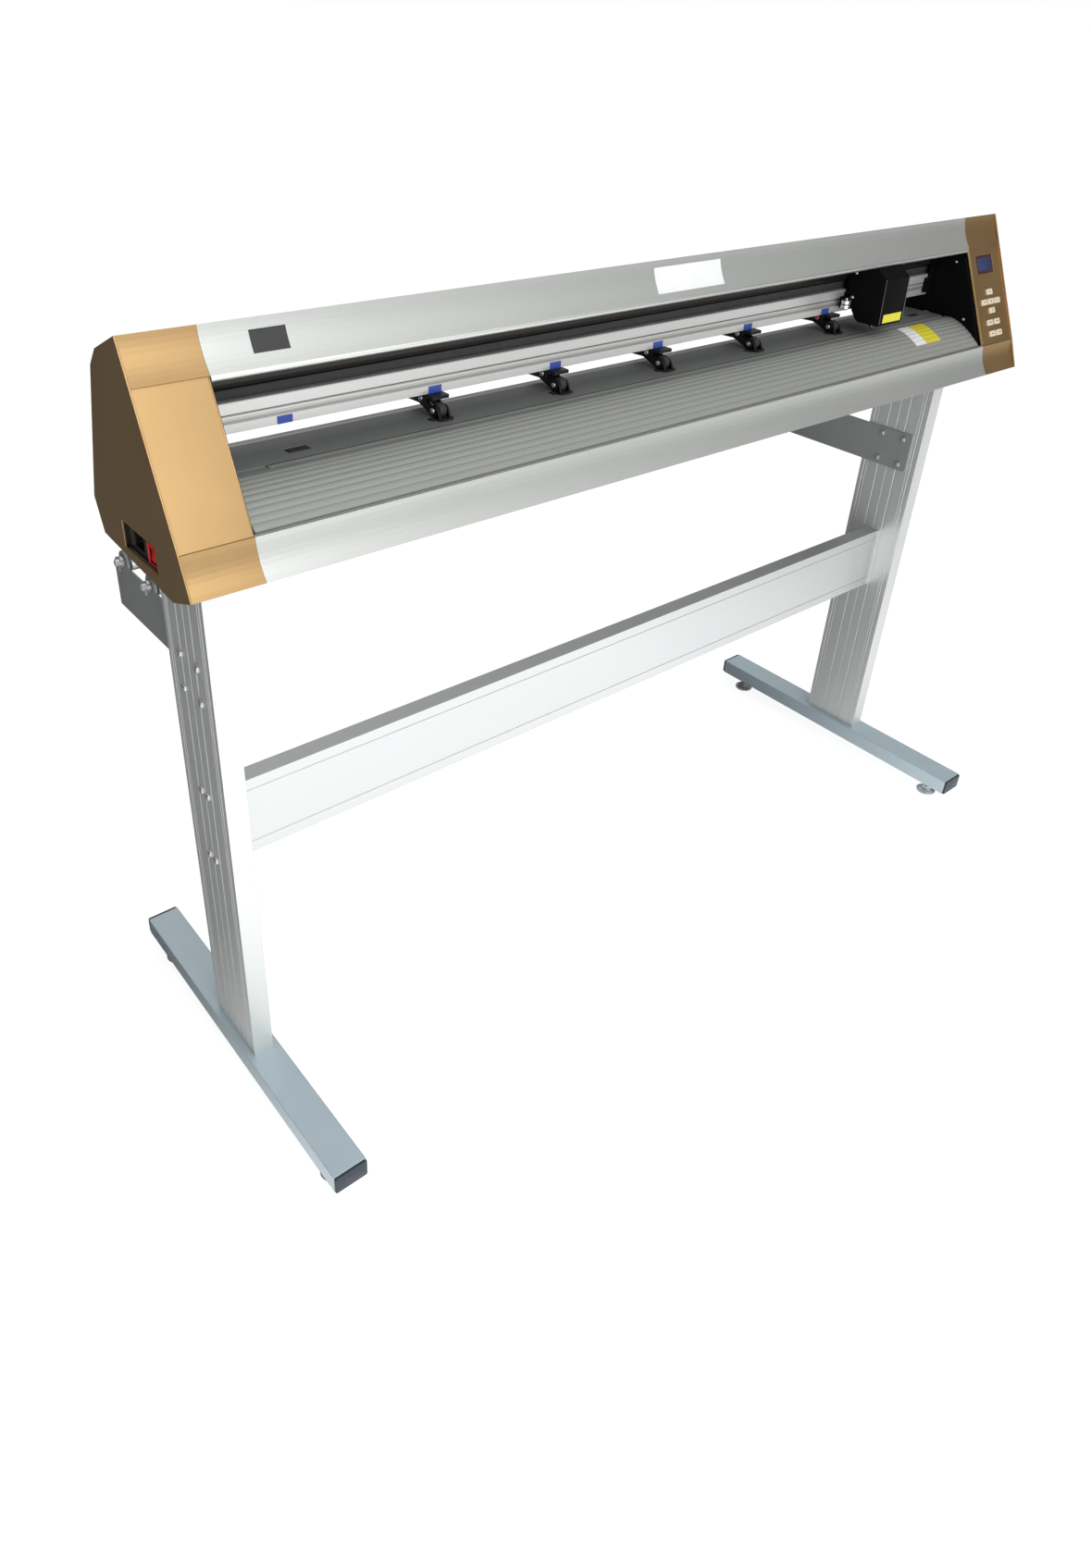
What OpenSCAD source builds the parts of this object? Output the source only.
// Vinyl cutting plotter on a floor stand.
// X runs along the machine to the right, Y to the back, Z up; the origin is on the floor,
// under the middle of the machine.

/* [Overall] */
// Length over the two end covers
machine_l = 1590; // [1300:5:2000]
// Floor to the underside of the machine's base
stand_h = 868; // [700:1:950]
// Height of the machine above its base
body_h = 247; // [235:1:300]
// Length of a foot bar, front to back, with its end caps
foot_l = 600; // [500:5:760]

/* [Stand] */
// Width of the foot tube
foot_w = 50; // [40:1:70]
// Height of the foot tube
foot_h = 30; // [25:1:50]
// Wall of the foot tube
foot_wall = 2.5; // [1.5:0.5:4]
// Floor to the underside of the foot tube
foot_clear = 30; // [24:1:45]
// Thickness of a leg, along X
leg_t = 30; // [24:1:45]
// Depth of a leg, front to back
leg_d = 118; // [90:1:150]
// End of the machine to the outer face of a leg
leg_inset = 51.5; // [48:0.5:62]
// Height of the cross beam's section
beam_h = 120; // [80:1:160]
// Thickness of the cross beam's section
beam_t = 28; // [24:1:40]
// Floor to the underside of the cross beam
beam_z = 396; // [300:1:520]
// Radius of the levelling pads
pad_r = 19; // [15:0.5:26]
// Distance of a levelling foot from the middle of its bar
pad_y = 250; // [190:1:280]

/* [Roll support] */
// Height of a roller bracket plate
bracket_h = 73; // [66:1:100]
// Floor to the underside of the bracket plate
bracket_z = 650; // [560:1:690]
// Reach of the bracket plate behind the leg's middle
bracket_back = 298; // [290:1:330]
// Radius of a media roller tube
roller_r = 15; // [12:0.5:20]
// Middle of the leg to the front media roller
roller_front_y = 175; // [120:1:180]
// Distance between the two media rollers
roller_pitch = 88; // [70:1:90]
// Radius of a media roller's axle pins
roller_pin_r = 5; // [4:0.5:7]

/* [Covers] */
// Width of the left end cover
left_cover_w = 85.5; // [80:0.5:110]
// Width of the right end cover, with the keypad
right_cover_w = 98; // [92:0.5:125]
// Thickness of the sheet metal covers
sheet_t = 2; // [1:0.25:3]
// Wall of the extruded covers and trims
cover_t = 2.5; // [1.5:0.25:4]
// Thickness of the inner side plates
plate_t = 4; // [3:0.5:6]

/* [Media path] */
// Height of the platen's top above the base
platen_z = 85; // [78:1:92]
// Gap between the platen's top and the guide beam
media_gap = 29; // [27:0.5:34]
// Number of ribs on the platen's front
rib_n = 9; // [6:1:12]
// Left side plate to the first grit wheel
first_wheel = 118.5; // [90:0.5:140]
// Right side plate to the sixth grit wheel, which leaves the carriage's parking place
last_wheel = 288; // [270:1:320]
// Right side plate to the grit wheel at the far right
end_wheel = 52; // [40:1:70]
// Radius of a grit wheel
grit_r = 12; // [10:0.5:14]
// Width of a grit wheel
grit_w = 26; // [18:1:30]
// Radius of the grit shaft
shaft_r = 6; // [4:0.5:8]
// Radius of a pinch wheel
pinch_r = 9; // [7:0.25:9.5]
// Width of a pinch wheel
pinch_w = 12; // [8:0.5:13]

/* [Carriage] */
// Width of the carriage cover
carriage_w = 64; // [56:1:80]
// Depth of the carriage cover's side
carriage_d = 64; // [56:1:74]
// Right side plate to the middle of the parked carriage
carriage_park = 224; // [215:1:250]

/* [Fits] */
// Radial clearance of a turning shaft in its bore
run_fit = 0.05; // [0.02:0.01:0.1]
// Clearance of a bolt in its hole
bolt_fit = 0.3; // [0.1:0.05:0.6]
// Gap between a moving piece and its seat
slide_gap = 0.3; // [0.2:0.05:0.4]

/* [Hidden] */
$fn = 48;

// Along X
x_left = -machine_l / 2;
x_right = machine_l / 2;
plate_left = x_left + left_cover_w;
plate_right = x_right - right_cover_w;
inner_left = plate_left + plate_t;
inner_right = plate_right - plate_t;
leg_x = machine_l / 2 - leg_inset - leg_t / 2;
leg_in = leg_x - leg_t / 2;

// Heights
bar_top = foot_clear + foot_h;
base_z = stand_h;
base_t = 3;
top_z = base_z + body_h;
deck_z = base_z + platen_z;
rail_z = deck_z + media_gap;

// Side view of the machine, as [y, z] corners
top_front = [-47, top_z];
top_crease = [-64, top_z - 46];
low_crease = [-135.5, base_z + 48];
low_front = [-156, base_z + 3.5];
under_front = [-110, base_z - 14];
under_back = [68, base_z - 1];
back_low = [84.5, base_z + 38.5];
back_high = [29.5, top_z - 46];
top_back = [10, top_z - 25];
lip = 4;          // how far the extruded covers stand proud of the sloping panel
bulge = 3.5;      // how far the extruded covers' faces bow out

// Guide beam section
beam_y = -9;
beam_back = 35;
slot_z = rail_z + 35;
slot_h = 14;
beam_top = top_z - 55;
groove_w = 12;    // groove under the beam that holds the pinch mounts
groove_h = 5;
groove_y = 4;

// Grit shaft and wheels
grit_y = -19;
grit_z = deck_z + 0.8 - grit_r;
wheel_pitch = (inner_right + plate_t - plate_left - first_wheel - last_wheel) / 5;
grit_x = concat([for (i = [0:5]) plate_left + first_wheel + i * wheel_pitch], [plate_right - end_wheel]);

// Pinch rollers
pinch_z = deck_z + 1.3 + pinch_r;
pivot_y = 4;
pivot_z = rail_z - 8;
arm_in = pinch_w / 2 + 0.6;
arm_t = 2.4;
mount_in = arm_in + arm_t + slide_gap;
mount_t = 3;
mount_out = mount_in + mount_t;
pin_r = 2;

// Carriage
carriage_x = plate_right - carriage_park;
carriage_front = -22 - carriage_d;
tool_y = -52;
tool_drop = 3.5;
belt_y = 11;
belt_z = slot_z + 2;
belt_w = 10;
belt_t = 1.5;
pulley_r = 10;
belt_run = pulley_r + slide_gap;
drive_x = plate_right + 38;
idler_x = plate_left - 28;

// Feed drive
feed_y = 25;
feed_z = base_z + 34;
feed_x = plate_left - 18;
feed_w = 10;
small_r = 8;
big_r = 24;

// Keypad panel: its slope, and the rows of keys as [distance from the panel's middle, down the panel]
panel_a = atan2(top_crease[1] - low_crease[1], top_crease[0] - low_crease[0]);
panel_mid = x_right - right_cover_w / 2 - 2;
key_w = 18;
key_h = 10;
key_spots = [[0, 79.5], [-20.5, 96], [0, 96], [20.5, 96], [0, 111.5],
             [-12, 131.5], [10, 131.5], [-9, 151], [12, 151]];
lcd_w = 50;
lcd_h = 31;
lcd_s = 32;

// Bolt patterns in the legs, as [y, z] offsets
beam_mid_y = 1.5;
port_y = beam_t / 2 - 5;
port_z = beam_h / 2 - 6;
bracket_bolt_y = 23;
bracket_bolt_z = 25;
bolt_r = 3;
head_r = 5.5;

// Points of a line moved sideways by d, with mitred corners
function unit(v) = v / norm(v);
function side(a, b) = let (u = unit(b - a)) [u[1], -u[0]];
function mitre(p, q, r, d) = let (m = side(p, q), n = side(q, r)) q + d * (m + n) / (1 + m * n);
function moved(l, d) = [for (i = [0:len(l) - 1])
    i == 0 ? l[0] + d * side(l[0], l[1]) :
    i == len(l) - 1 ? l[i] + d * side(l[i - 1], l[i]) :
    mitre(l[i - 1], l[i], l[i + 1], d)];
function moved_loop(l, d) = [for (i = [0:len(l) - 1])
    mitre(l[(i + len(l) - 1) % len(l)], l[i], l[(i + 1) % len(l)], d)];
function turned(l) = [for (i = [len(l) - 1:-1:0]) l[i]];
// Points from a to b that bow out by h
function bow(a, b, h, n = 8) = [for (i = [0:n]) let (t = i / n)
    a + t * (b - a) + 4 * h * t * (1 - t) * side(a, b)];
// Points of a quarter curve from a to b round the corner c
function bend(a, c, b, n = 6) = [for (i = [0:n]) let (t = i / n)
    (1 - t) * (1 - t) * a + 2 * t * (1 - t) * c + t * t * b];

// A [y, z] outline drawn out along X
module along_x(x0, x1) {
    translate([x0, 0, 0])
        rotate([90, 0, 90])
            linear_extrude(x1 - x0)
                children();
}

// Sheet of thickness t on the right-hand side of a line of points
module sheet(l, t) {
    polygon(concat(l, turned(moved(l, t))));
}

// Places children on the sloping panel: x, distance down from its top crease, height over it
module on_panel(x, s, h) {
    translate([x, top_crease[0], top_crease[1]])
        rotate([panel_a, 0, 0])
            translate([0, -s, h])
                children();
}

module rod_x(x0, x1, y, z, r) {
    translate([x0, y, z])
        rotate([0, 90, 0])
            cylinder(h = x1 - x0, r = r);
}

module rod_z(x, y, z0, z1, r) {
    translate([x, y, z0])
        cylinder(h = z1 - z0, r = r);
}

module block(x0, x1, y0, y1, z0, z1) {
    translate([x0, y0, z0])
        cube([x1 - x0, y1 - y0, z1 - z0]);
}

module both_sides() {
    children();
    mirror([1, 0, 0])
        children();
}

// ---- Stand ----

stem_r = 5;
nut_t = 8;
cap_t = 4;

module foot_bars() {
    color("lightsteelblue") both_sides() difference() {
        union() {
            difference() {
                block(leg_x - foot_w / 2, leg_x + foot_w / 2, -foot_l / 2 + cap_t, foot_l / 2 - cap_t,
                      foot_clear, bar_top);
                block(leg_x - foot_w / 2 + foot_wall, leg_x + foot_w / 2 - foot_wall, -foot_l, foot_l,
                      foot_clear + foot_wall, bar_top - foot_wall);
            }
            for (y = [-pad_y, pad_y])
                rod_z(leg_x, y, foot_clear + foot_wall - 1, foot_clear + foot_wall + nut_t, 9);
        }
        for (y = [-pad_y, pad_y])
            rod_z(leg_x, y, foot_clear - 1, foot_clear + foot_wall + nut_t + 1, stem_r + run_fit);
        for (y = [-foot_bolt_y, foot_bolt_y])
            rod_z(leg_x, y, foot_clear - 1, bar_top + 1, bolt_r + bolt_fit);
    }
}

module foot_end_caps() {
    plug_gap = 0.2;
    color("darkslategray") both_sides() for (s = [-1, 1]) {
        y_in = foot_l / 2 - cap_t;
        plug = 12;
        block(leg_x - foot_w / 2, leg_x + foot_w / 2, min(s * y_in, s * foot_l / 2),
              max(s * y_in, s * foot_l / 2), foot_clear, bar_top);
        block(leg_x - foot_w / 2 + foot_wall + plug_gap, leg_x + foot_w / 2 - foot_wall - plug_gap,
              min(s * y_in, s * (y_in - plug)), max(s * y_in, s * (y_in - plug)),
              foot_clear + foot_wall + plug_gap, bar_top - foot_wall - plug_gap);
    }
}

module levelling_foot(sx, sy) {
    color("darkgray") union() {
        rod_z(sx * leg_x, sy * pad_y, 0, 3, pad_r);
        translate([sx * leg_x, sy * pad_y, 3])
            cylinder(h = 4, r1 = pad_r, r2 = 10);
        rod_z(sx * leg_x, sy * pad_y, 6, 10, 8);
        rod_z(sx * leg_x, sy * pad_y, 6, bar_top - foot_wall - 7, stem_r);
    }
}

leg_wall = 3;
foot_bolt_y = 40;
web_y = leg_d / 6;

// One hollow extruded leg: three cells, with grooves down both wide faces
module leg_section() {
    cell = (leg_d - 4 * leg_wall) / 3;
    difference() {
        square([leg_t, leg_d], center = true);
        for (i = [-1:1])
            translate([0, i * (cell + leg_wall)])
                square([leg_t - 2 * leg_wall, cell], center = true);
        for (sx = [-1, 1], y = [-web_y - 30, -web_y, web_y, web_y + 30])
            translate([sx * leg_t / 2, y])
                square([2.4, 3], center = true);
        for (sx = [-1, 1], y = [-web_y - 24, web_y + 24, 0])
            translate([sx * leg_t / 2, y])
                square([1.4, 1.6], center = true);
    }
}

module leg_holes() {
    for (y = [-port_y, port_y], z = [-port_z, port_z])
        rod_x(leg_in - 1, leg_in + leg_t + 1, beam_mid_y + y, beam_z + beam_h / 2 + z, bolt_r + bolt_fit);
    for (y = [-bracket_bolt_y, bracket_bolt_y], z = [-bracket_bolt_z, bracket_bolt_z])
        rod_x(leg_in - 1, leg_in + leg_t + 1, y, bracket_z + bracket_h / 2 + z, bolt_r + bolt_fit);
}

module legs() {
    color("silver") both_sides() difference() {
        translate([leg_x, 0, bar_top])
            linear_extrude(base_z - bar_top)
                leg_section();
        leg_holes();
        for (y = [-foot_bolt_y, foot_bolt_y])
            rod_z(leg_x, y, bar_top - 1, bar_top + 1, bolt_r);
    }
}

module cross_beam() {
    wall = 2.5;
    color("gainsboro") difference() {
        along_x(-leg_in, leg_in) translate([beam_mid_y, beam_z + beam_h / 2]) difference() {
            square([beam_t, beam_h], center = true);
            square([beam_t - 4 * wall - 12, beam_h - 2 * wall], center = true);
            square([beam_t - 2 * wall, beam_h - 4 * wall - 16], center = true);
            for (s = [-1, 1])
                translate([-beam_t / 2, s * (beam_h / 2 - 17)])
                    square([1.2, 1.6], center = true);
        }
        for (y = [-port_y, port_y], z = [-port_z, port_z])
            rod_x(-leg_in - 1, leg_in + 1, beam_mid_y + y, beam_z + beam_h / 2 + z, bolt_r + run_fit);
    }
}

// A round-headed bolt along X, its head on the outer face of the leg
module leg_bolt(y, z, reach) {
    rod_x(leg_in - reach, leg_in + leg_t + 1, y, z, bolt_r);
    rod_x(leg_in + leg_t, leg_in + leg_t + 3.5, y, z, head_r);
}

module stand_bolts() {
    color("gainsboro") both_sides() {
        for (y = [-port_y, port_y], z = [-port_z, port_z])
            leg_bolt(beam_mid_y + y, beam_z + beam_h / 2 + z, 20);
        for (y = [-bracket_bolt_y, bracket_bolt_y], z = [-bracket_bolt_z, bracket_bolt_z]) {
            leg_bolt(y, bracket_z + bracket_h / 2 + z, bracket_t + 3);
            rod_x(leg_in - bracket_t - 3, leg_in - bracket_t, y, bracket_z + bracket_h / 2 + z, head_r);
        }
        for (y = [-foot_bolt_y, foot_bolt_y]) {
            rod_z(leg_x, y, foot_clear - 4, foot_clear, head_r);
            rod_z(leg_x, y, foot_clear - 1, bar_top + leg_wall, bolt_r - 0.01);
        }
    }
}

// ---- Roll support ----

bracket_t = 3;
ear_r = 15;
roller_z = bracket_z + bracket_h + 7;
roller_gap = 2;
roller_ys = [roller_front_y, roller_front_y + roller_pitch];
notch_w = 9;
notch_h = 20;

module roller_brackets() {
    r = 8;
    y0 = -40;
    bracket_top = bracket_z + bracket_h;
    color("slategray") both_sides() difference() {
        along_x(leg_in - bracket_t, leg_in) difference() {
            union() {
                polygon(concat(bend([y0, bracket_z + r], [y0, bracket_z], [y0 + r, bracket_z]),
                               [[bracket_back, bracket_z], [bracket_back, bracket_top - 4],
                                [bracket_back - 5, bracket_top + 2], [bracket_back - 12, bracket_top],
                                [y0, bracket_top]]));
                // ears that carry the roller pins
                for (y = roller_ys) {
                    translate([y, roller_z])
                        circle(r = ear_r);
                    translate([y - ear_r, bracket_top - 10])
                        square([2 * ear_r, 10 + roller_z - bracket_top]);
                }
            }
            // open slot behind each ear
            for (y = roller_ys)
                translate([y + ear_r, bracket_top - notch_h])
                    square([notch_w, notch_h + 10]);
        }
        for (y = roller_ys)
            rod_x(leg_in - bracket_t - 1, leg_in + 1, y, roller_z, roller_pin_r + run_fit);
        for (y = [-bracket_bolt_y, bracket_bolt_y], z = [-bracket_bolt_z, bracket_bolt_z])
            rod_x(leg_in - bracket_t - 1, leg_in + 1, y, bracket_z + bracket_h / 2 + z, bolt_r + bolt_fit);
    }
}

module media_roller(y) {
    tube_x = leg_in - bracket_t - roller_gap;
    pin_x = leg_in + 12;
    color("whitesmoke") difference() {
        union() {
            rod_x(-tube_x, tube_x, y, roller_z, roller_r);
            rod_x(-pin_x, pin_x, y, roller_z, roller_pin_r);
            both_sides()
                rod_x(leg_in + 1, leg_in + 6, y, roller_z, roller_pin_r + 3.5);
        }
        rod_x(-tube_x + 12, tube_x - 12, y, roller_z, roller_r - 1.8);
    }
}

// ---- Base, side plates and covers ----

base_front = -97;
base_back = 60;
flange_h = 20;

module base_frame() {
    inset = sheet_t + 0.5;
    color("dimgray") union() {
        block(x_left + inset, x_right - inset, base_front, base_back, base_z, base_z + base_t);
        block(x_left + inset, x_right - inset, base_front, base_front + base_t, base_z, base_z + flange_h);
        block(x_left + inset, x_right - inset, base_back - base_t, base_back, base_z, base_z + flange_h);
    }
}

body_outline = [top_crease + [-lip, 0], low_crease + [-lip / 2, 1], low_front, under_front, under_back,
                back_low, back_high, top_back, top_front];

// Outline of an inner side plate, its sloping edge set back from the panel
function plate_outline(back) = [[top_crease[0] + 7.5 + back, top_crease[1] - 9],
                 [top_crease[0] - 4 + back, top_crease[1] - 17],
                 [low_crease[0] + 5 + back, low_crease[1] - 1], [low_crease[0] + 5 + back, base_z + 26],
                 [base_front + base_t, base_z + 26],
                 [base_front + base_t, base_z + base_t], [base_back - base_t, base_z + base_t],
                 [base_back - base_t, base_z + flange_h + 4], [back_low[0] - 6, back_low[1]],
                 [back_high[0] - 5, back_high[1]], [top_back[0] - 3, top_back[1] - 4],
                 [top_front[0] + 5, top_front[1] - 5.5], [top_crease[0] + 4, top_crease[1] + 4]];

module side_plate_shape(back) {
    difference() {
        polygon(plate_outline(back));
        translate([belt_y - belt_run - belt_t - 3, slot_z])
            square([2 * (belt_run + belt_t + 3), slot_h]);
    }
}

bearing_r = 13;
boss_r = 19;
motor_w = 56;

module side_plates() {
    color([0.08, 0.08, 0.09]) {
        difference() {
            union() {
                along_x(plate_left, inner_left)
                    side_plate_shape(10);
                block(idler_x - 14, plate_left + 1, belt_y - 12, belt_y + 12, slot_z - 5, slot_z - 1);
            }
            rod_x(plate_left - 1, inner_left + 1, grit_y, grit_z, bearing_r + 0.02);
            rod_x(plate_left - 1, inner_left + 1, feed_y, feed_z, boss_r + 0.5);
            rod_z(idler_x, belt_y, slot_z - 6, slot_z, 4 + run_fit);
        }
        difference() {
            union() {
                along_x(inner_right, plate_right)
                    side_plate_shape(0);
                // angle that holds the beam's right end
                block(inner_right - 16, inner_right + 1, beam_y - 5, beam_y, rail_z + 5, slot_z - 6);
                block(inner_right - 7, inner_right + 1, beam_y - 5, beam_y, slot_z - 7, beam_top);
                block(plate_right - 1, drive_x + motor_w / 2, belt_y - motor_w / 2, belt_y + motor_w / 2,
                      slot_z - 5, slot_z - 1);
            }
            rod_x(inner_right - 1, plate_right + 1, grit_y, grit_z, bearing_r + 0.02);
            rod_z(drive_x, belt_y, slot_z - 6, slot_z, boss_r + 0.5);
        }
    }
}

panel_gap = 0.8;

// Sheet metal end cover: side wall, sloping panel and back
module end_cover_shell(x_out, x_in, s) {
    wall_in = x_out + s * sheet_t;
    along_x(min(x_out, wall_in), max(x_out, wall_in))
        polygon(body_outline);
    along_x(min(wall_in, x_in), max(wall_in, x_in)) {
        sheet([low_crease + panel_gap * unit(top_crease - low_crease), top_crease], sheet_t);
        sheet([under_back + [6, 14], back_low, back_high], -sheet_t);
    }
}

inlet_y0 = -79;
inlet_y1 = 7;
inlet_z0 = base_z + 5;
inlet_z1 = base_z + 37;

module left_end_cover() {
    color("tan") difference() {
        end_cover_shell(x_left, plate_left, 1);
        block(x_left - 1, x_left + sheet_t + 1, inlet_y0, inlet_y1, inlet_z0, inlet_z1);
    }
}

module right_end_cover() {
    color("tan") difference() {
        end_cover_shell(x_right, plate_right, -1);
        on_panel(panel_mid, lcd_s, -5)
            translate([-lcd_w / 2, -lcd_h / 2, 0])
                cube([lcd_w, lcd_h, 10]);
        for (k = key_spots)
            on_panel(panel_mid + k[0], k[1], -5)
                translate([-key_w / 2 - slide_gap, -key_h / 2 - slide_gap, 0])
                    cube([key_w + 2 * slide_gap, key_h + 2 * slide_gap, 10]);
    }
}

// Line of the top cover's section, from its front lower edge over the top to the back
top_line = concat(bow(top_front, top_crease + [-lip, -0.5], -bulge));
// Line of the front cover's section, from the platen's front edge down to the base
front_line = concat(bow(low_crease + [-lip / 2, 1], low_front, -bulge));

module top_section() {
    sheet(concat([top_crease + [lip, -7]], turned(top_line), [top_back, back_high, back_mid]), cover_t);
}

back_mid = [back_high[0] + 18, back_high[1] - 53];

module top_trim_section() {
    sheet(concat([top_crease + [-1.6, -1.7]], turned(top_line), [top_back, back_high + [-1.2, 1.3]]),
          cover_t);
}

module low_trim_section(flange) {
    sheet(concat([low_crease + flange], front_line, [under_front, [base_front - 1, base_z - 0.5]]),
          -cover_t);
}

module end_trims() {
    color("tan") {
        along_x(x_left + sheet_t, plate_left) {
            top_trim_section();
            low_trim_section([-0.4, 1.2]);
        }
        along_x(plate_right, x_right - sheet_t) {
            top_trim_section();
            low_trim_section([-0.4, 1.2]);
        }
    }
}

module top_cover() {
    color("silver") along_x(plate_left, plate_right)
        top_section();
}

module front_cover() {
    color("lightgray") along_x(plate_left, plate_right)
        low_trim_section([4, 1.5]);
}

module rear_cover() {
    color("lightgray") along_x(inner_left, inner_right)
        sheet(concat(bend([platen_back + 0.4, deck_z - 0.5], [platen_back + 30, deck_z - 1],
                          [72, deck_z - 20]),
                     [back_low, under_back + [1, 1], [base_back, base_z + 8]]), cover_t);
}

// ---- Media path ----

platen_back = 25;
platen_t = 3;
strip_y0 = -57;
strip_y1 = -47;
curve_y = -64;

// Height of the platen's top surface at y: flat at the back, then falling in a curve to the front edge
front_y = low_crease[0] + 5.5;
front_z = low_crease[1] + 2;
function drop(y) = let (t = (curve_y - y) / (curve_y - front_y))
    t <= 0 ? 0 : (deck_z - front_z) * pow(t, 1.75);
rib_pitch = (curve_y - front_y) / rib_n;
rib_h = 0.7;
function rib_line() = [for (i = [0:rib_n - 1], j = [0:5]) let (y = curve_y - (i + j / 6) * rib_pitch)
    [y, deck_z - drop(y) + rib_h * sin(30 * j) - rib_h / 2]];

module platen() {
    line = concat([[platen_back, deck_z - 8], [platen_back, deck_z], [strip_y1, deck_z],
                   [strip_y1, deck_z - 1.5], [strip_y0, deck_z - 1.5], [strip_y0, deck_z],
                   [curve_y + 1, deck_z]],
                  rib_line(), [[front_y, front_z], [front_y, front_z - 2]]);
    under = concat([for (i = [0:8]) let (y = front_y + 3 + i / 8 * (curve_y - front_y))
                       [y, deck_z - drop(y) - platen_t - 1]],
                   [[strip_y0, deck_z - 1.5 - platen_t], [strip_y1, deck_z - 1.5 - platen_t],
                    [platen_back - platen_t, deck_z - platen_t], [platen_back - platen_t, deck_z - 8]]);
    color("darkgray") difference() {
        union() {
            along_x(inner_left, inner_right)
                polygon(concat(line, under));
            // feet that stand the platen on the base, the back one clear of the feed motor
            for (foot = [[-88, inner_left + 20], [platen_back - 8, inner_left + motor_l + 8]])
                along_x(foot[1], inner_right - 20)
                    translate([foot[0], base_z + base_t])
                        square([3, deck_z - drop(foot[0]) - platen_t - 0.5 - base_z - base_t]);
        }
        for (x = grit_x) {
            block(x - grit_w / 2 - 1.5, x + grit_w / 2 + 1.5, grit_y - 8.5, grit_y + 8.5,
                  deck_z - 12, deck_z + 1);
            block(x - grit_w / 2 - 1.5, x + grit_w / 2 + 1.5, grit_y - 11, grit_y + 11,
                  deck_z - 12, deck_z - 2);
        }
        for (x = support_x)
            block(x - 12, x + 12, platen_back - 10, platen_back - 4, base_z + 20, deck_z - 10);
    }
}

module cutting_strip() {
    color("black")
        block(inner_left + 60, inner_right - 8, strip_y0 + slide_gap, strip_y1 - slide_gap,
              deck_z - 1.5, deck_z + 0.1);
}

module guide_beam() {
    lo = rail_z;
    color("gainsboro") along_x(inner_left, inner_right) difference() {
        polygon(concat([[beam_y, lo], [beam_back, lo], [beam_back, beam_top - 18],
                        [beam_back - 7, beam_top],
                        [beam_y + 6, beam_top]],
                       [[beam_y, beam_top - 6]],
                       bend([beam_y, slot_z + slot_h + 14], [beam_y, slot_z + slot_h],
                            [beam_y + 7, slot_z + slot_h]),
                       [[beam_back - 4, slot_z + slot_h], [beam_back - 4, slot_z], [beam_y + 1, slot_z],
                        [beam_y, slot_z - 1]]));
        // hollow of the lower box
        translate([beam_y + 4, lo + 9])
            square([beam_back - beam_y - 8, slot_z - lo - 13]);
        // hollow of the upper box
        translate([beam_y + 9, slot_z + slot_h + 4])
            square([beam_back - beam_y - 21, beam_top - slot_z - slot_h - 8]);
        // groove for the pinch mounts, narrower at its mouth
        translate([groove_y, lo + 2])
            square([groove_w, groove_h]);
        translate([groove_y + 3, lo - 1])
            square([groove_w - 6, 4]);
        // grooves along the front face
        translate([beam_y - 1, lo + 19])
            square([2.5, 2.5]);
        translate([beam_y - 1, lo + 11])
            square([1.8, 1.6]);
    }
}

support_x = [for (i = [0:2:4]) (grit_x[i] + grit_x[i + 1]) / 2];

module shaft_bearings() {
    color("gray") {
        difference() {
            union() {
                rod_x(plate_left - 4, inner_left, grit_y, grit_z, bearing_r);
                rod_x(plate_left - 4, plate_left, grit_y, grit_z, bearing_r + 2);
            }
            rod_x(plate_left - 5, inner_left + 1, grit_y, grit_z, shaft_r + run_fit);
        }
        difference() {
            union() {
                rod_x(inner_right, plate_right + 4, grit_y, grit_z, bearing_r);
                rod_x(plate_right, plate_right + 4, grit_y, grit_z, bearing_r + 2);
            }
            rod_x(inner_right - 1, plate_right + 5, grit_y, grit_z, shaft_r + run_fit);
        }
        for (x = support_x)
            difference() {
                block(x - 8, x + 8, grit_y - 11, grit_y + 11, base_z + base_t, deck_z - platen_t - 1.5);
                rod_x(x - 9, x + 9, grit_y, grit_z, shaft_r + run_fit);
            }
    }
}

module grit_shaft() {
    color("dimgray") union() {
        rod_x(feed_x - feed_w / 2 - 2, plate_right + 6, grit_y, grit_z, shaft_r);
        for (x = grit_x)
            rod_x(x - grit_w / 2, x + grit_w / 2, grit_y, grit_z, grit_r);
        rod_x(feed_x - feed_w / 2, feed_x + feed_w / 2, grit_y, grit_z, big_r);
    }
}

// ---- Drives ----

motor_l = 54;

module motor_body(bore) {
    difference() {
        union() {
            translate([-motor_w / 2, -motor_w / 2, -motor_l])
                cube([motor_w, motor_w, motor_l]);
            cylinder(h = 1.6, r = boss_r);
        }
        for (sx = [-1, 1], sy = [-1, 1])
            translate([sx * motor_w / 2, sy * motor_w / 2, -motor_l - 1])
                cylinder(h = motor_l + 2, r = 5);
        translate([0, 0, -20])
            cylinder(h = 30, r = bore);
    }
}

motor_shaft_r = 4;

module motors() {
    color([0.15, 0.15, 0.16]) {
        translate([inner_left, feed_y, feed_z])
            rotate([0, -90, 0])
                motor_body(motor_shaft_r + run_fit);
        translate([drive_x, belt_y, slot_z - 5])
            motor_body(motor_shaft_r + run_fit);
    }
}

module feed_pulley() {
    color("silver") union() {
        rod_x(feed_x - feed_w / 2, feed_x + feed_w / 2, feed_y, feed_z, small_r);
        rod_x(feed_x - feed_w / 2, inner_left + 18, feed_y, feed_z, motor_shaft_r);
    }
}

module flanged_pulley(x, z0) {
    rod_z(x, belt_y, belt_z - 1, belt_z + belt_w - 0.5, pulley_r);
    rod_z(x, belt_y, z0, belt_z + belt_w - 0.5, motor_shaft_r);
}

module drive_pulley() {
    color("silver")
        flanged_pulley(drive_x, slot_z - 22);
}

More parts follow.
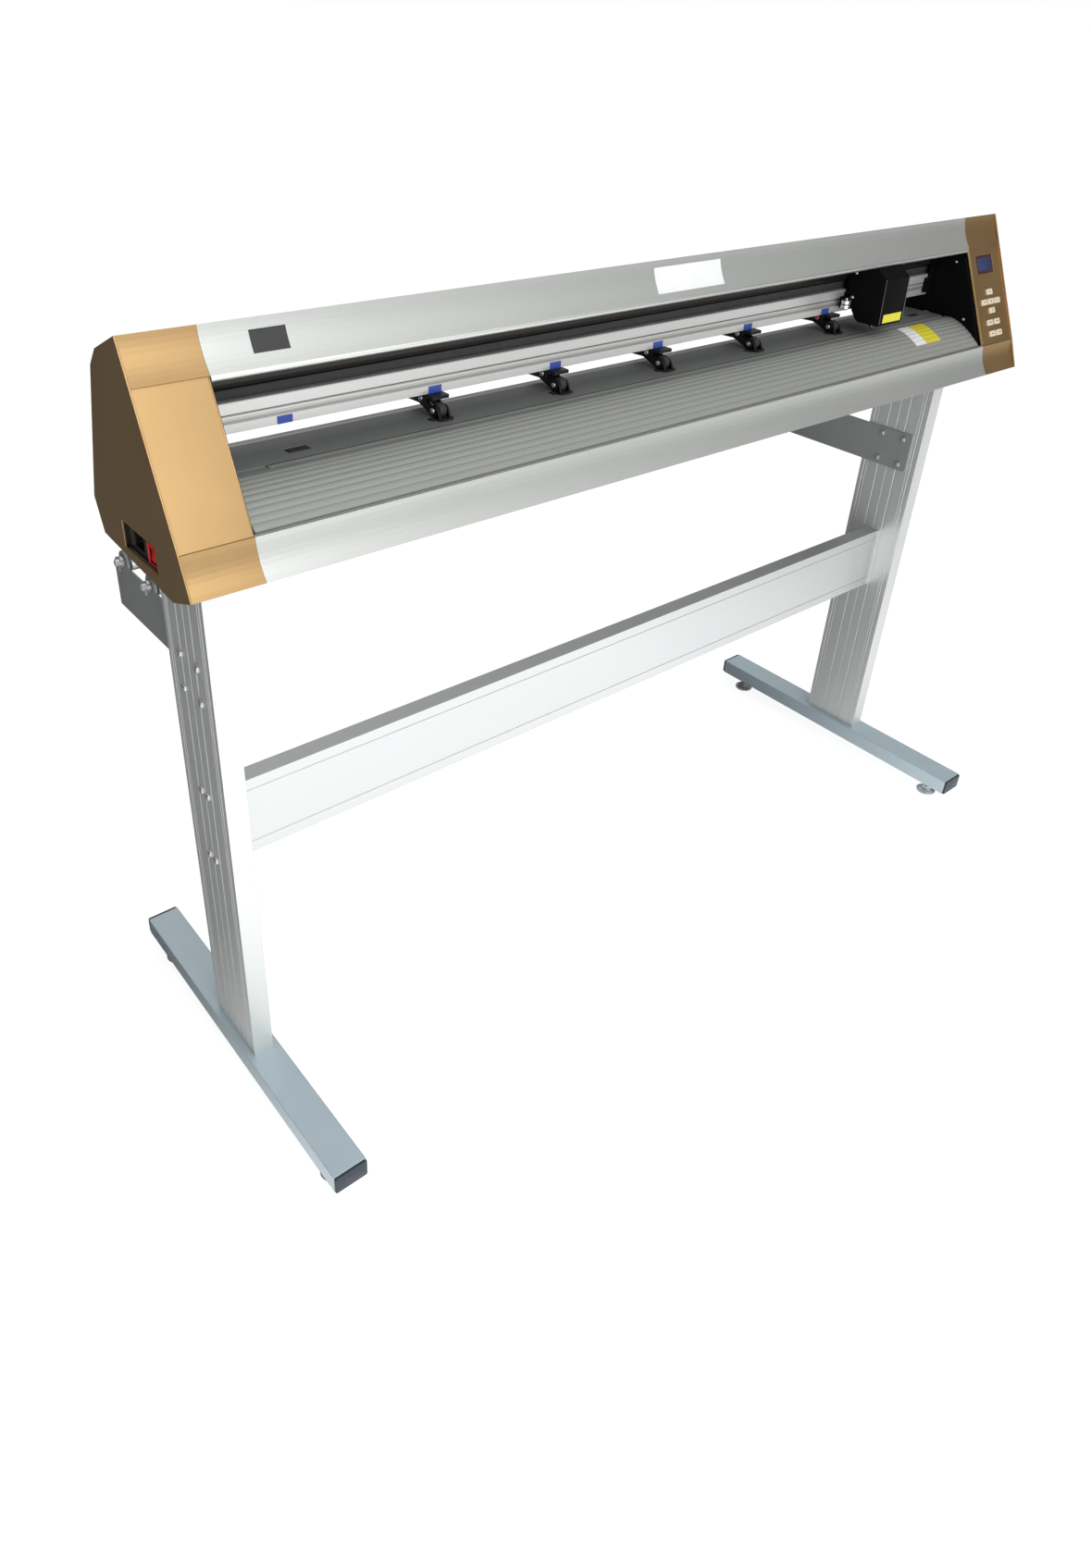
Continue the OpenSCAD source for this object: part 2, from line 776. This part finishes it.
module idler_pulley() {
    color("silver")
        flanged_pulley(idler_x, slot_z - 10);
}

module belts() {
    color([0.06, 0.06, 0.06]) {
        translate([0, 0, belt_z - 0.5])
            linear_extrude(belt_w)
                difference() {
                    hull() {
                        translate([idler_x, belt_y])
                            circle(r = belt_run + belt_t, $fn = 40);
                        translate([drive_x, belt_y])
                            circle(r = belt_run + belt_t, $fn = 40);
                    }
                    hull() {
                        translate([idler_x, belt_y])
                            circle(r = belt_run, $fn = 40);
                        translate([drive_x, belt_y])
                            circle(r = belt_run, $fn = 40);
                    }
                }
        along_x(feed_x - feed_w / 2 + 1, feed_x + feed_w / 2 - 1)
            difference() {
                hull() {
                    translate([feed_y, feed_z])
                        circle(r = small_r + slide_gap + belt_t, $fn = 32);
                    translate([grit_y, grit_z])
                        circle(r = big_r + slide_gap + belt_t, $fn = 40);
                }
                hull() {
                    translate([feed_y, feed_z])
                        circle(r = small_r + slide_gap, $fn = 32);
                    translate([grit_y, grit_z])
                        circle(r = big_r + slide_gap, $fn = 40);
                }
            }
    }
}

board_h = 7;
board_z = base_z + base_t + board_h;

module circuit_boards() {
    psu_x = inner_left + 130;
    main_x = inner_right - 360;
    color("seagreen") {
        block(psu_x, psu_x + 160, -78, -34, base_z + base_t, base_z + base_t + 42);
        union() {
            block(main_x, main_x + 170, -80, 12, board_z, board_z + 2);
            for (x = [main_x + 6, main_x + 164], y = [-74, 6])
                rod_z(x, y, base_z + base_t, board_z + 1, 3);
            block(main_x + 20, main_x + 60, -60, -35, board_z + 1, board_z + 22);
            block(main_x + 80, main_x + 105, -60, -35, board_z + 1, board_z + 6);
            block(main_x + 130, main_x + 160, -70, -40, board_z + 1, board_z + 14);
        }
        panel_board();
    }
}

key_under = -sheet_t - slide_gap - 2;
switch_top = key_under - 1 - slide_gap;

// The keypad's circuit board with its display module and one switch under each key
module panel_board() {
    board = switch_top - 4;
    union() {
        on_panel(panel_mid, 0, board)
            translate([-38, -160, 0])
                cube([76, 154, 1.6]);
        on_panel(panel_mid, lcd_s, board + 1)
            translate([-lcd_w / 2 - 3, -lcd_h / 2 - 3, 0])
                cube([lcd_w + 6, lcd_h + 6, -sheet_t - board - 1.02]);
        for (k = key_spots)
            on_panel(panel_mid + k[0], k[1], board + 1)
                translate([-3, -3, 0])
                    cube([6, 6, switch_top - board - 1]);
        // end rails that hold the board off the panel
        for (s = [158, 64])
            on_panel(panel_mid, s, board + 1)
                translate([-36, -1.5, 0])
                    cube([8, 3, -sheet_t - board - 1.02]);
    }
}

module key(i) {
    color("cornsilk")
        on_panel(panel_mid + key_spots[i][0], key_spots[i][1], 0)
            union() {
                translate([-key_w / 2, -key_h / 2, key_under])
                    cube([key_w, key_h, 2.2 - key_under]);
                translate([-key_w / 2 - 0.8, -key_h / 2 - 0.8, key_under])
                    cube([key_w + 1.6, key_h + 1.6, -sheet_t - slide_gap - key_under]);
            }
}

// ---- Power inlet ----

rocker_y = -61.5;
rocker_w = 22;
rocker_h = 22;
rocker_z = (inlet_z0 + inlet_z1) / 2;
socket_y = -24;

module power_inlet() {
    x0 = x_left + 5;
    color([0.07, 0.07, 0.07]) difference() {
        union() {
            block(x0, x0 + 3, inlet_y0 - 3, inlet_y1 + 3, inlet_z0 - 1.5, inlet_z1 + 3);
            block(x_left + sheet_t, x0 + 1, inlet_y0 - 3, inlet_y0, inlet_z0 - 1.5, inlet_z1 + 3);
            block(x_left + sheet_t, x0 + 1, inlet_y1, inlet_y1 + 3, inlet_z0 - 1.5, inlet_z1 + 3);
            block(x0 + 2, x0 + 24, inlet_y0 + 2, inlet_y1 - 4, inlet_z0 + 1, inlet_z1 - 1);
        }
        block(x0 - 1, x0 + 17, socket_y - 12, socket_y + 12, rocker_z - 8.5, rocker_z + 8.5);
        block(x0 - 1, x0 + 14, rocker_y - rocker_w / 2 - slide_gap, rocker_y + rocker_w / 2 + slide_gap,
              rocker_z - rocker_h / 2 - 1.6, rocker_z + rocker_h / 2 + 1.6);
        rod_rocker(1 + slide_gap, 1.5 + run_fit);
    }
    color([0.75, 0.75, 0.75]) for (p = [[-7, -2.5], [7, -2.5], [0, 3.5]])
        block(x0 + 4, x0 + 18, socket_y + p[0] - 1, socket_y + p[0] + 1,
              rocker_z + p[1] - 2, rocker_z + p[1] + 2);
}

rocker_x = x_left + 10;

module rod_rocker(extra, r) {
    translate([rocker_x, rocker_y - rocker_w / 2 - extra, rocker_z])
        rotate([-90, 0, 0])
            cylinder(h = rocker_w + 2 * extra, r = r);
}

module power_switch() {
    color("firebrick") union() {
        intersection() {
            along_rocker()
                polygon([[-7, rocker_h / 2], [-3, 0], [-4.6, -rocker_h / 2], [1, -rocker_h / 2],
                         [3, -3], [3, 3], [1, rocker_h / 2]]);
            translate([rocker_x, rocker_y, rocker_z])
                cube([40, rocker_w, rocker_h + 4], center = true);
        }
        rod_rocker(1, 1.5);
    }
}

module along_rocker() {
    translate([rocker_x, rocker_y + rocker_w / 2, rocker_z])
        rotate([90, 0, 0])
            linear_extrude(rocker_w)
                children();
}

// ---- Pinch rollers ----

pinch_x = [for (i = [1:5]) grit_x[i] + 3];

module pinch_mount(i) {
    x = pinch_x[i];
    y0 = -22;
    y1 = 22;
    roof = rail_z - 5;
    color([0.1, 0.1, 0.1]) difference() {
        union() {
            block(x - mount_out, x + mount_out, y0, y1, roof, rail_z - slide_gap);
            for (s = [-1, 1])
                block(x + s * (mount_in + mount_t / 2) - mount_t / 2,
                      x + s * (mount_in + mount_t / 2) + mount_t / 2,
                      pivot_y - 9, pivot_y + 9, pivot_z - 5, roof + 1);
            block(x - mount_out + 2, x + mount_out - 2,
                  groove_y + 3 + slide_gap, groove_y + groove_w - 3 - slide_gap,
                  rail_z - 2, rail_z + 3);
            block(x - mount_out + 2, x + mount_out - 2,
                  groove_y + slide_gap, groove_y + groove_w - slide_gap,
                  rail_z + 2 + slide_gap, rail_z + 2 + groove_h - slide_gap);
        }
        rod_x(x - mount_out - 1, x + mount_out + 1, pivot_y, pivot_z, pin_r + run_fit);
    }
}

module pinch_arm(i) {
    x = pinch_x[i];
    foot_z = deck_z + 1.5;
    axle_z = pinch_z;
    color([0.12, 0.12, 0.12]) difference() {
        union() {
            // two cheeks
            for (s = [-1, 1])
                along_x(x + s * (arm_in + arm_t / 2) - arm_t / 2, x + s * (arm_in + arm_t / 2) + arm_t / 2)
                    polygon([[grit_y - 6, foot_z], [grit_y + 2, foot_z], [14, pivot_z - 9],
                             [40, pivot_z - 10], [40, pivot_z - 7], [10, pivot_z + 1.8], [pivot_y - 4, pivot_z + 1.8],
                             [grit_y + 4, axle_z + 5], [grit_y - 7, axle_z + 3], [grit_y - 9, foot_z + 3]]);
            // bridge and tail between the cheeks
            along_x(x - arm_in - 0.5, x + arm_in + 0.5)
                polygon([[14, pivot_z - 9], [40, pivot_z - 10], [40, pivot_z - 7], [16, pivot_z - 3]]);
            // thin guide foot in front of the wheel
            block(x - arm_in - arm_t - 3, x + arm_in + arm_t + 3, grit_y - 17, grit_y - pinch_r - 1.5,
                  foot_z, foot_z + 1.2);
            for (s = [-1, 1])
                along_x(x + s * (arm_in + arm_t / 2) - arm_t / 2, x + s * (arm_in + arm_t / 2) + arm_t / 2)
                    polygon([[grit_y - 14, foot_z], [grit_y - 6, foot_z], [grit_y - 7, axle_z + 2]]);
            // pivot pin and wheel axle, with heads on the left
            rod_x(x - mount_out - 0.5, x + mount_out + 0.5, pivot_y, pivot_z, pin_r);
            rod_x(x - mount_out - 2, x - mount_out - slide_gap, pivot_y, pivot_z, pin_r + 2);
            rod_x(x - arm_in - arm_t - 3, x + arm_in + arm_t + 1, grit_y, axle_z, pin_r);
            rod_x(x - arm_in - arm_t - 3, x - arm_in - arm_t, grit_y, axle_z, pin_r + 1.4);
        }
    }
}

module pinch_wheel(i) {
    x = pinch_x[i];
    color("black") difference() {
        union() {
            rod_x(x - pinch_w / 2, x + pinch_w / 2, grit_y, pinch_z, pinch_r);
            rod_x(x - pinch_w / 2 - 0.3, x + pinch_w / 2 + 0.3, grit_y, pinch_z, pinch_r - 4);
        }
        rod_x(x - pinch_w, x + pinch_w, grit_y, pinch_z, pin_r + run_fit);
    }
}

// ---- Carriage ----

car_l = carriage_x - carriage_w / 2;
car_r = carriage_x + carriage_w / 2;
car_top = slot_z + 36;
car_low = deck_z + 19;
cover_sheet = 1.6;

module carriage_outline() {
    polygon([[-14, car_top + 6], [-14, slot_z + 14], [-20, rail_z + 27], [-23, rail_z + 16],
             [-38, car_low + 5], [-45, car_low], [carriage_front + 3, car_low],
             [carriage_front, car_low + 5], [carriage_front + 2, car_top - 8],
             [top_crease[0] - 1, car_top + 7], [top_crease[0] + 8, car_top + 7]]);
}

module carriage_cover() {
    roof = car_top + 7 - cover_sheet;
    color([0.05, 0.05, 0.06]) difference() {
        along_x(car_l, car_r)
            carriage_outline();
        along_x(car_l + cover_sheet, car_r - cover_sheet)
            polygon([[-10, roof - 1], [-10, car_low - 2], [carriage_front + 4, car_low - 2],
                     [carriage_front + cover_sheet, car_low + 6],
                     [carriage_front + 2 + cover_sheet, car_top - 9], [top_crease[0], roof],
                     [top_crease[0] + 8, roof]]);
    }
}

module carriage_frame() {
    plate_y = beam_y - 4;
    color([0.2, 0.2, 0.21]) union() {
        // back plate on the beam, its slot runner and its belt clamp
        block(car_l + 2, car_r - 2, plate_y - 3, plate_y, rail_z + 4, slot_z + 18);
        for (x = [car_l + 6, car_r - 18])
            block(x, x + 12, plate_y - 1, beam_y + 6, slot_z + slide_gap, slot_z + slot_h - slide_gap);
        for (z = [rail_z + 5, rail_z + 25])
            block(car_l + 2, car_r - 2, plate_y - 1, beam_y - slide_gap, z, z + 5);
        // runner at the left that carries the wiper
        block(car_l - 12, car_l + 4, plate_y - 5, plate_y - 0.5, rail_z + 8, rail_z + 26);
        // tool bracket and lifting solenoid
        block(carriage_x - 14, carriage_x + 14, -24, plate_y - 2, rail_z + 12, slot_z + 16);
        rod_z(carriage_x - 16, -36, rail_z + 30, slot_z + 22, 9);
        block(carriage_x - 16, carriage_x + 4, -36, -20, slot_z + 5, slot_z + 12);
        // guide rod of the tool slide
        rod_z(carriage_x + 10, -32, rail_z + 2, slot_z + 14, 3);
        block(carriage_x + 6, carriage_x + 14, -36, -22, slot_z + 8, slot_z + 14);
        block(carriage_x + 6, carriage_x + 14, -36, -22, rail_z + 1, rail_z + 5.5);
        block(carriage_x + 6, carriage_x + 14, -24, -18, rail_z + 1, rail_z + 14);
        // tabs that hold the cover
        block(car_l + cover_sheet, car_l + 6, -24, plate_y, slot_z + 2, slot_z + 12);
        block(car_r - 6, car_r - cover_sheet, -24, plate_y, slot_z + 2, slot_z + 12);
    }
}

module tool_holder() {
    low = rail_z + 10;
    high = rail_z + 22;
    color("goldenrod") difference() {
        union() {
            block(carriage_x + 4.5, carriage_x + 15.5, -40, -26.5, low, high);
            block(carriage_x - 9, carriage_x + 15.5, tool_y - 9, -38, low, high);
            rod_z(carriage_x, tool_y, car_low - 4, high + 12, 6);
            rod_z(carriage_x, tool_y, high + 4, high + 16, 8);
            rod_z(carriage_x, tool_y, deck_z + tool_drop + 5, car_low - 3, 3.5);
            translate([carriage_x, tool_y, deck_z + tool_drop + 0.5])
                cylinder(h = 5, r1 = 0.8, r2 = 3);
        }
        rod_z(carriage_x + 10, -32, low - 1, high + 1, 3 + run_fit);
    }
}

foot_bars();
foot_end_caps();
legs();
cross_beam();
stand_bolts();
roller_brackets();
base_frame();
left_end_cover();
right_end_cover();
end_trims();
top_cover();
front_cover();
rear_cover();
platen();
cutting_strip();
guide_beam();
side_plates();
shaft_bearings();
motors();
belts();
circuit_boards();
power_inlet();
carriage_frame();
carriage_cover();
tool_holder();
grit_shaft();
feed_pulley();
drive_pulley();
idler_pulley();
media_roller(roller_ys[0]);  // media_roller_front
media_roller(roller_ys[1]);  // media_roller_rear
power_switch();
for (i = [0:3])
    levelling_foot(i % 2 == 0 ? -1 : 1, i < 2 ? -1 : 1);
for (i = [0:8])
    key(i);
for (i = [0:4])
    pinch_mount(i);
for (i = [0:4])
    pinch_arm(i);
for (i = [0:4])
    pinch_wheel(i);
